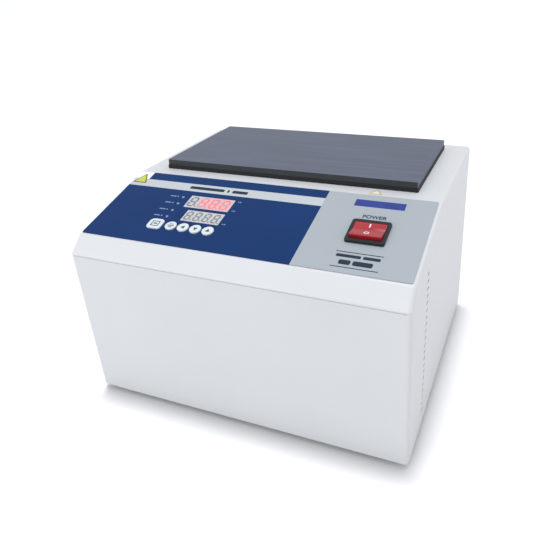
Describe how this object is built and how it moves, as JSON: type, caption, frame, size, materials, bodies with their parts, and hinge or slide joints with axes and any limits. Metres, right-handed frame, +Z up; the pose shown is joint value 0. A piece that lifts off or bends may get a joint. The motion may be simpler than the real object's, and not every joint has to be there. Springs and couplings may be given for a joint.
{
  "type": "dry block heater",
  "caption": "Bench dry block heater: white sheet-metal case, sloped control panel with displays, keys and rocker switch, flat grey lid over a drilled aluminium block.",
  "frame": {"origin": "on the bench, under the middle of the bounding box", "axes": "+X to the right seen from the front, +Y to the rear, +Z up"},
  "size_m": [0.29, 0.2679, 0.194],
  "materials": {
    "body_paint": "satin pale grey-white powder coat with a fine orange-peel texture",
    "bare_steel": "zinc-plated sheet",
    "overlay_film": "printed film: dark blue field, pale grey stripe and pale grey-blue area",
    "display_face": "pale face of a seven-segment display",
    "key_cap": "white keys with dark marks",
    "indicator_lens": "unlit pale lens",
    "black_plastic": "fine-grained moulded plastic",
    "red_rocker": "translucent red switch rocker",
    "label_yellow": "plain yellow triangle sticker",
    "lid_grey": "matt dark blue-grey plate",
    "black_rubber": "matt black rubber",
    "block_aluminium": "machined aluminium",
    "mica_film": "mica-backed heating film",
    "bright_steel": "bright plated fasteners",
    "insulation": "pressed mineral fibre",
    "circuit_board": "green solder mask",
    "fuse_glass": "glass tube fuse",
    "brass_contact": "plated brass blades",
    "white_sleeving": "white sleeving",
    "earth_sleeving": "green sleeving"
  },
  "bodies": {
    "chassis": {"base_pan": "bare_steel", "block_tray": "bare_steel", "clamp_plate": "block_aluminium", "control_board": "circuit_board", "control_overlay": "overlay_film", "cover": "body_paint", "deck_label": "label_yellow", "display_actual": "display_face", "display_set": "display_face", "earth_lead": "earth_sleeving", "earth_pin": "brass_contact", "foot_front_left": "black_rubber", "foot_front_right": "black_rubber", "foot_rear_left": "black_rubber", "foot_rear_right": "black_rubber", "foot_screw_front_left": "bright_steel", "foot_screw_front_right": "bright_steel", "foot_screw_rear_left": "bright_steel", "foot_screw_rear_right": "bright_steel", "heat_block": "block_aluminium", "heater_film": "mica_film", "indicator_1": "indicator_lens", "indicator_2": "indicator_lens", "indicator_3": "indicator_lens", "indicator_4": "indicator_lens", "inlet_housing": "black_plastic", "inlet_screw_left": "bright_steel", "inlet_screw_right": "bright_steel", "insulation_surround": "insulation", "line_pin": "brass_contact", "neutral_pin": "brass_contact", "opening_trim": "black_plastic", "panel_label": "label_yellow", "power_supply_board": "circuit_board", "probe_lead": "white_sleeving", "rear_panel": "body_paint", "rear_screw_lower_left": "bright_steel", "rear_screw_lower_right": "bright_steel", "rear_screw_upper_left": "bright_steel", "rear_screw_upper_right": "bright_steel", "relay_heat_sink": "block_aluminium", "rocker_housing": "black_plastic", "solid_state_relay": "black_plastic", "support_post_front_left": "bright_steel", "support_post_front_right": "bright_steel", "support_post_rear_left": "bright_steel", "support_post_rear_right": "bright_steel", "temperature_probe": "bright_steel", "terminal_strip": "black_plastic", "thermal_cutout": "black_plastic"},
    "lid": {"lid_plate": "lid_grey", "lid_gasket": "black_rubber"},
    "rocker": {"power_rocker": "red_rocker"},
    "drawer": {"fuse_drawer": "black_plastic", "fuse": "fuse_glass"},
    "key_set_cap": {"key_set": "key_cap"},
    "key_shift_cap": {"key_shift": "key_cap"},
    "key_left_cap": {"key_left": "key_cap"},
    "key_down_cap": {"key_down": "key_cap"},
    "key_up_cap": {"key_up": "key_cap"}
  },
  "joints": [
    {"name": "lid_lift", "type": "slide", "parent": "chassis", "child": "lid", "axis": [0, 0, 1], "range_m": [0, 0.08]},
    {"name": "rocker_tilt", "type": "hinge", "parent": "chassis", "child": "rocker", "pos_m": [0.0978, -0.07349, 0.17274], "axis": [1, 0, 0], "range_deg": [0, 16]},
    {"name": "fuse_drawer_slide", "type": "slide", "parent": "chassis", "child": "drawer", "axis": [0, 1, 0], "range_m": [0, 0.022]},
    {"name": "key_set_press", "type": "slide", "parent": "chassis", "child": "key_set_cap", "axis": [0, 0.2485, -0.9686], "range_m": [0, 0.0008], "stiffness_N_per_m": 900},
    {"name": "key_shift_press", "type": "slide", "parent": "chassis", "child": "key_shift_cap", "axis": [0, 0.2485, -0.9686], "range_m": [0, 0.0008], "stiffness_N_per_m": 900},
    {"name": "key_left_press", "type": "slide", "parent": "chassis", "child": "key_left_cap", "axis": [0, 0.2485, -0.9686], "range_m": [0, 0.0008], "stiffness_N_per_m": 900},
    {"name": "key_down_press", "type": "slide", "parent": "chassis", "child": "key_down_cap", "axis": [0, 0.2485, -0.9686], "range_m": [0, 0.0008], "stiffness_N_per_m": 900},
    {"name": "key_up_press", "type": "slide", "parent": "chassis", "child": "key_up_cap", "axis": [0, 0.2485, -0.9686], "range_m": [0, 0.0008], "stiffness_N_per_m": 900}
  ]
}
